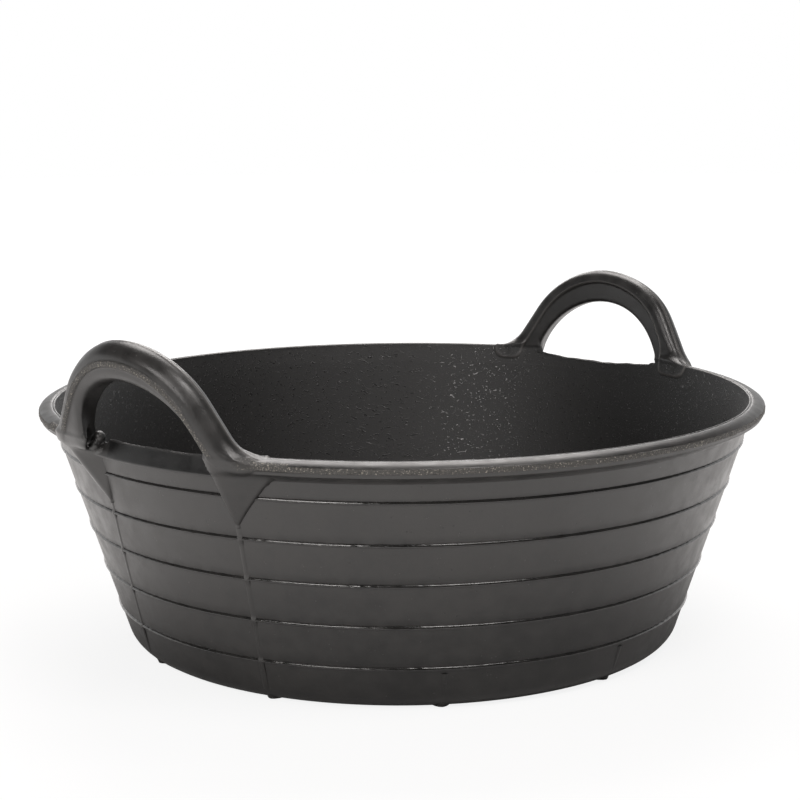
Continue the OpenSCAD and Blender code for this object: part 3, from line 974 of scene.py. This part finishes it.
# Materials
class Graph:
    """A short way to write a node tree."""

    def __init__(self, tree):
        self.tree = tree
        tree.nodes.clear()

    def add(self, kind, settings=None, **inputs):
        node = self.tree.nodes.new("ShaderNode" + kind)
        for name, value in (settings or {}).items():
            setattr(node, name, value)
        for name, value in inputs.items():
            self.set(node.inputs[name.replace("_", " ")], value)
        return node

    def set(self, socket, value):
        if isinstance(value, bpy.types.NodeSocket):
            self.tree.links.new(value, socket)
        else:
            socket.default_value = value

    def noise(self, place, scale, detail=2.0, roughness=0.5):
        node = self.add("TexNoise", Vector=place, Scale=scale, Detail=detail, Roughness=roughness)
        return node.outputs["Fac"]

    def ramp(self, value, low, high, start=0.0, stop=1.0):
        node = self.add("MapRange", {"interpolation_type": "SMOOTHSTEP"}, Value=value,
                        From_Min=low, From_Max=high, To_Min=start, To_Max=stop)
        return node.outputs["Result"]

    def fill(self, node, *values):
        for socket, value in zip(node.inputs, values):
            self.set(socket, value)
        return node

    def sum(self, operation, first, second):
        return self.fill(self.add("Math", {"operation": operation}), first, second).outputs[0]

    def measure(self, operation, *vectors):
        node = self.add("VectorMath", {"operation": operation})
        return self.fill(node, *vectors).outputs["Value"]

    def times(self, first, second):
        return self.sum("MULTIPLY", first, second)

    def blend(self, share, first, second):
        node = self.add("Mix", {"data_type": "RGBA"})
        for index, value in ((0, share), (6, first), (7, second)):
            self.set(node.inputs[index], value)
        return node.outputs[2]

    def mark(self, name):
        return self.add("Attribute", {"attribute_name": name}).outputs["Fac"]

    def bump(self, height, strength, distance, normal=None):
        node = self.add("Bump", Height=height, Strength=strength, Distance=distance)
        if normal:
            self.set(node.inputs["Normal"], normal)
        return node.outputs["Normal"]

    def stretched(self, place, turn, scale):
        node = self.add("Mapping", {"vector_type": "TEXTURE"}, Vector=place,
                        Rotation=turn, Scale=scale)
        return node.outputs["Vector"]


# Patterns of the rubber: noises as scale per metre, detail and roughness, grit as cells per metre, size
# in a cell and the noise and range that let it through, and strokes in metres
NOISES = {"cloud": (11.0, 4.0, 0.6), "mottle": (85.0, 5.0, 0.6),
          "fine": (1100.0, 3.0, 0.6), "crumbs": (950.0, 2.0, 0.6)}
DUST_RANGE = (0.70, 1.3)
DUST_INSIDE = 0.2
PALE_RANGE = (0.57, 0.67)
SPECKS = (420.0, 0.18, (160.0, 2.0), (0.60, 0.68))
PITS = (210.0, 0.13, (70.0, 1.0), (0.56, 0.62))
GRIT_EDGE = 0.7
STROKE_SIZE = (0.011, 0.0013, 0.0013)
STROKE_TURNS = ((0.0, 0.45, -0.86), (0.0, -0.15, -0.86), (0.0, 0.30, 0.71), (0.0, -0.40, 0.71))
STROKE_RANGE = (0.65, 0.74)

# Tints laid over the rubber: mark or pattern, share and colour. Some are painted light: painted shade inside
# the tub and on the sill's face, and a painted highlight along worn edges
TINTS = (
    ("specks", 0.4, (0.13, 0.123, 0.115, 1)),
    ("pits", 0.8, (0.004, 0.004, 0.004, 1)),
    (TRIM, 0.5, (0.075, 0.070, 0.062, 1)),
    ("pale", 1.0, (0.30, 0.275, 0.235, 1)),
    # Painted shade: the inside of the tub is painted darker than the rubber itself
    (INSIDE, 0.95, (0.004, 0.0038, 0.0037, 1)),
    ("scuffs", 0.10, (0.075, 0.072, 0.070, 1)),
    # Painted highlight, partly wear: edges of tongues and crest painted lighter
    (WEAR_AND_HIGHLIGHT, 0.7, (0.13, 0.124, 0.118, 1)),
    # Painted shade: the sill's face, painted near black
    (SILL_SHADE, 1.0, (0.003, 0.003, 0.003, 1)))

# Roughness: its spread over the mottle, changes by mark, and the inside's own
ROUGH_RANGE = (0.25, 0.75)
ROUGH_SPREAD = (-0.06, 0.09)
ROUGH_TRIM = 0.22
ROUGH_LIP = 0.22
ROUGH_SCUFF = 0.30
ROUGH_INSIDE = 0.57

# Bumps: pattern, strength and height in metres
BUMPS = (
    ("mottled", 0.20, 0.0005),
    ("fine", 0.18, 0.00022),
    ("scuffs", 0.7, 0.00016),
    ("crumbly", 0.8, 0.0010),
    ("grit", 0.5, 0.0003))
RUBBER_IOR = 1.65


def scratches(graph, place, turn):
    """Short thin strokes that lie about one way."""
    lines = graph.noise(graph.stretched(place, turn, STROKE_SIZE), 1.0, 1.0)
    return graph.ramp(lines, *STROKE_RANGE)


def grit(graph, place, per_metre, size, gate_noise, gate_range):
    """Small round specks, where a coarser noise lets them through."""
    gate = graph.ramp(graph.noise(place, *gate_noise), *gate_range)
    cells = graph.add("TexVoronoi", Vector=place, Scale=per_metre).outputs["Distance"]
    dots = graph.ramp(cells, size * GRIT_EDGE, size, 1.0, 0.0)
    return graph.times(dots, gate)


def rubber_patterns(graph):
    """The marks and patterns that colour, roughness and bump share."""
    place = graph.add("TexCoord").outputs["Object"]
    look = {mark: graph.mark(mark) for mark in (TRIM, INSIDE, LIP, WEAR_AND_HIGHLIGHT, SILL_SHADE)}
    look.update({name: graph.noise(place, *noise) for name, noise in NOISES.items()})
    look["outside"] = graph.sum("SUBTRACT", 1.0, look[INSIDE])
    look["mottled"] = graph.times(look["mottle"], look["outside"])
    look["crumbly"] = graph.times(look["crumbs"], look[TRIM])
    look["pale"] = graph.times(graph.ramp(look["crumbs"], *PALE_RANGE), look[TRIM])
    look["specks"] = grit(graph, place, *SPECKS)
    look["pits"] = graph.times(grit(graph, place, *PITS), graph.ramp(look[INSIDE], 0.0, 1.0, 1.0, 0.0))
    look["grit"] = graph.sum("SUBTRACT", look["specks"], look["pits"])
    strokes = scratches(graph, place, STROKE_TURNS[0])
    for turn in STROKE_TURNS[1:]:
        strokes = graph.sum("MAXIMUM", strokes, scratches(graph, place, turn))
    look["scuffs"] = graph.times(strokes, look[INSIDE])
    return look


def rubber_colour(graph, look, dark, dusty):
    """Dusty black, with tints laid over it by marks and patterns, among them painted shade inside and on the
    sill's face and painted highlights along worn edges.
    """
    dust = graph.ramp(graph.sum("ADD", look["cloud"], look["mottle"]), *DUST_RANGE)
    dust = graph.times(dust, graph.ramp(look[INSIDE], 0.0, 1.0, 1.0, DUST_INSIDE))
    colour = graph.blend(dust, dark, dusty)
    for name, share, tint in TINTS:
        colour = graph.blend(graph.times(look[name], share), colour, tint)
    return colour


def rubber_roughness(graph, look, roughness):
    """Uneven over the mottle, and even inside apart from the scuffs."""
    low, high = (roughness + step for step in ROUGH_SPREAD)
    rough = graph.ramp(look["mottle"], *ROUGH_RANGE, low, high)
    rough = graph.sum("ADD", rough, graph.times(look[TRIM], ROUGH_TRIM))
    rough = graph.sum("SUBTRACT", rough, graph.times(look[LIP], ROUGH_LIP))
    inside = graph.times(look[INSIDE], ROUGH_INSIDE)
    rough = graph.sum("ADD", graph.times(rough, look["outside"]), inside)
    return graph.sum("SUBTRACT", rough, graph.times(look["scuffs"], ROUGH_SCUFF))


def rubber_normal(graph, look):
    normal = None
    for name, strength, distance in BUMPS:
        normal = graph.bump(look[name], strength, distance, normal)
    return normal


def make_rubber(name, dark, dusty, roughness):
    """Black moulded rubber: mottled and dusty, pitted, scuffed inside and rough where trimmed, with painted
    shade inside and on the sill's face and painted highlights along worn edges.
    """
    material = bpy.data.materials.new(name)
    material.use_nodes = True
    graph = Graph(material.node_tree)
    look = rubber_patterns(graph)
    shader = graph.add("BsdfPrincipled", IOR=RUBBER_IOR,
                       Base_Color=rubber_colour(graph, look, dark, dusty),
                       Roughness=rubber_roughness(graph, look, roughness),
                       Normal=rubber_normal(graph, look))
    graph.add("OutputMaterial", Surface=shader.outputs["BSDF"])
    return material


# Camera: its place in metres, its angles, and its focal length and picture in pixels
CAMERA_OUT = 1.300
CAMERA_UP = 0.3865
CAMERA_PITCH_DEG = 9.86
CAMERA_ROLL_DEG = -0.35
CAMERA_TURN_DEG = -139.3
FOCAL_PX, FRAME_PX, MIDDLE_PX = 1886.7, 800, 401.7
SENSOR_MM = 36.0


def camera_side(turn_deg):
    """A level direction from the tub, counted to the right as the camera sees it."""
    a = math.radians(CAMERA_TURN_DEG + turn_deg)
    return Vector((math.cos(a), math.sin(a), 0))


def add_camera():
    data = bpy.data.cameras.new("camera")
    data.sensor_width = SENSOR_MM
    data.lens = FOCAL_PX / FRAME_PX * SENSOR_MM
    data.shift_x = (FRAME_PX / 2 - MIDDLE_PX) / FRAME_PX
    camera = add_object("camera", data)
    heading = math.radians(CAMERA_TURN_DEG + 90)
    look = Matrix.Rotation(heading, 4, "Z") @ Matrix.Rotation(math.radians(90 - CAMERA_PITCH_DEG), 4, "X")
    look = look @ Matrix.Rotation(math.radians(CAMERA_ROLL_DEG), 4, "Z")
    camera.matrix_world = Matrix.Translation(camera_side(0) * CAMERA_OUT + Vector((0, 0, CAMERA_UP))) @ look
    bpy.context.scene.camera = camera


# Soft lights: name, turn from the camera and rise in degrees, distance and size in metres, and power
LAMP_COLOUR = (1.0, 0.96, 0.94)
SOFTBOXES = (
    ("key_softbox", 180, 56, 2.0, (1.5, 1.2), 32),
    ("back_softbox", 180, 18, 2.2, (0.90, 0.40), 5),
    ("left_softbox", -31, 32, 1.7, (0.85, 0.34), 8.5),
    ("right_softbox", 32, 58, 1.7, (0.75, 0.38), 10))

# Room: how its ceiling comes down, its fade and level, and the light from all around
CEILING_SIDES = (-0.9, 0.5)
CEILING_RISE = (0.34, 0.07)
CEILING_FADE = (0.75, 1.3)
CEILING_LEVEL = 0.07
ROOM_LIGHT = (0.22, 0.22, 0.22, 1)

# Floor: radius, fades and shift in metres, and paint and lift to the eye and in gloss; in gloss the lift is
# low near the tub and rises outwards, a painted shadow round the tub's foot that the wall reflects
STAGE_R = 6.0
STAGE_FADE = (0.5, 1.8)
STAGE_PAINT = (0.75, 0.75, 0.75, 1)
EYE_PAINT = 0.15
EYE_LIFT = (0.86, 1.0)
GLOSS_PAINT = 0.50
GLOSS_SHADOW_FADE = (0.20, 0.36)
GLOSS_LIFT = (0.03, 0.77)
GLOSS_SHADOW_SHIFT = 0.02
WARM_WHITE = (1.0, 0.965, 0.945, 1)


def add_softbox(name, turn_deg, rise_deg, distance, size, power):
    """A soft light, a rectangle that faces the tub."""
    data = bpy.data.lights.new(name, "AREA")
    data.shape = "RECTANGLE"
    data.size, data.size_y = size
    data.energy = power
    data.color = LAMP_COLOUR
    light = add_object(name, data)
    rise = math.radians(rise_deg)
    target = Vector((0, 0, TUB_H * MM / 2))
    way = camera_side(turn_deg) * math.cos(rise) + Vector((0, 0, math.sin(rise)))
    light.location = target + way * distance
    light.rotation_euler = way.to_track_quat("Z", "Y").to_euler()


def add_world():
    """A white room with a dark ceiling, which comes down lowest on the camera's side."""
    world = bpy.data.worlds.new("room")
    bpy.context.scene.world = world
    world.use_nodes = True
    graph = Graph(world.node_tree)
    way = graph.add("TexCoord").outputs["Generated"]
    rise = graph.add("SeparateXYZ", Vector=way).outputs["Z"]
    toward = graph.measure("DOT_PRODUCT", way, camera_side(0))
    ceiling = graph.ramp(toward, *CEILING_SIDES, *CEILING_RISE)
    height = graph.sum("DIVIDE", rise, ceiling)
    shade = graph.ramp(height, *CEILING_FADE, 1.0, CEILING_LEVEL)
    path = graph.add("LightPath")
    seen = graph.sum("MAXIMUM", path.outputs["Is Camera Ray"], path.outputs["Is Transmission Ray"])
    seen = graph.sum("MAXIMUM", seen, path.outputs["Is Glossy Ray"])
    colour = graph.blend(seen, ROOM_LIGHT, shade)
    back = graph.add("Background", Color=colour, Strength=1.0)
    graph.add("OutputWorld", Surface=back.outputs["Background"])


def lifted(graph, paint, strength, colour=(1, 1, 1, 1)):
    """Paint that is lifted towards white, and still takes a shadow."""
    tint = graph.add("BsdfDiffuse", Color=(paint, paint, paint, 1))
    lift = graph.add("Emission", Color=colour, Strength=strength)
    return graph.fill(graph.add("AddShader"), tint.outputs[0], lift.outputs[0]).outputs[0]


def mixed(graph, share, first, second):
    return graph.fill(graph.add("MixShader"), share, first, second).outputs[0]


def make_floor_material():
    """Pale floor: white to the eye, with a faint shadow, fading into the white room; in gloss white away
    from the tub, with a painted shadow near its foot.
    """
    material = bpy.data.materials.new("pale_floor")
    material.use_nodes = True
    graph = Graph(material.node_tree)
    path = graph.add("LightPath")
    place = graph.add("TexCoord").outputs["Object"]
    far = graph.ramp(graph.measure("LENGTH", place), *STAGE_FADE)
    seen = graph.sum("MAXIMUM", path.outputs["Is Camera Ray"], path.outputs["Is Transmission Ray"])
    eye = lifted(graph, EYE_PAINT, graph.ramp(far, 0.0, 1.0, *EYE_LIFT))
    # Painted shadow in gloss: the lift grows with distance from a point a little to the camera's right of
    # the tub's middle
    beside = graph.measure("DISTANCE", place, camera_side(90) * GLOSS_SHADOW_SHIFT)
    lift = graph.ramp(beside, *GLOSS_SHADOW_FADE, *GLOSS_LIFT)
    gloss = lifted(graph, GLOSS_PAINT, lift, WARM_WHITE)
    paint = graph.add("BsdfDiffuse", Color=STAGE_PAINT).outputs[0]
    look = mixed(graph, path.outputs["Is Glossy Ray"], paint, gloss)
    graph.add("OutputMaterial", Surface=mixed(graph, seen, look, eye))
    return material


def add_floor():
    bpy.ops.mesh.primitive_circle_add(vertices=96, radius=STAGE_R, fill_type="NGON")
    floor = bpy.context.object
    floor.name = "floor"
    floor.data.materials.append(make_floor_material())


# Everything together
WALL_RUBBER = make_rubber("wall_rubber", (0.0110, 0.0104, 0.0100, 1), (0.026, 0.0245, 0.023, 1), 0.37)
RIM_RUBBER = make_rubber("rim_rubber", (0.0115, 0.0109, 0.0104, 1), (0.028, 0.026, 0.0245, 1), 0.38)
GRIP_RUBBER = make_rubber("grip_rubber", (0.0110, 0.0104, 0.0100, 1), (0.027, 0.0253, 0.024, 1), 0.36)


def add_wall():
    heel = make_ring("heel_moulding", heel_outline(LAP_Z[0]), full_turn(480), True, seed=30)
    pieces = [(heel, "heel_course")]
    for n, z0, z1 in zip(COURSES, LAP_Z, LAP_Z[1:] + [RIM_Z]):
        shape = course_outline(z0, z1)
        course = make_ring(f"course_{n}_moulding", shape, full_turn(640), True, seed=30 + n)
        pieces.append((course, f"wall_course_{n}"))
    pieces += [(make_floor_disc(), "floor_blank")]
    pieces += [(make_seam_ribs(), "seam_ribs"), (make_heel_ribs(), "heel_ribs")]
    for piece, node in pieces:
        dress(piece, WALL_RUBBER)
        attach(piece, "tub")
        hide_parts(node)


def add_rim():
    half_zone = (ZONE_S - ZONE_FADE + 1) / GRIP_R
    for name, turn in (("rear_rim", 0), ("front_rim", math.pi)):
        angles = turn + np.linspace(half_zone, math.pi - half_zone, 900)
        piece = make_ring(f"{name}_trimmed", rim_outline(), angles, False, seed=50)
        dress(piece, RIM_RUBBER)
        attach(piece, "tub")
        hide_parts(name)


def add_grips():
    for side, look in GRIPS.items():
        piece = make_grip(f"{side}_grip_moulding", look)
        dress(piece, GRIP_RUBBER)
        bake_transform(piece)
        nodes = [f"{side}_{end}_{part}" for end in ("front", "rear") for part in ("neck", "leg")]
        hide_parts(f"{side}_grip", f"{side}_crown", f"{side}_sill", *nodes)


add_wall()
add_rim()
add_grips()
add_floor()
add_world()
for softbox in SOFTBOXES:
    add_softbox(*softbox)
add_camera()
bpy.context.scene.view_settings.view_transform = "Standard"
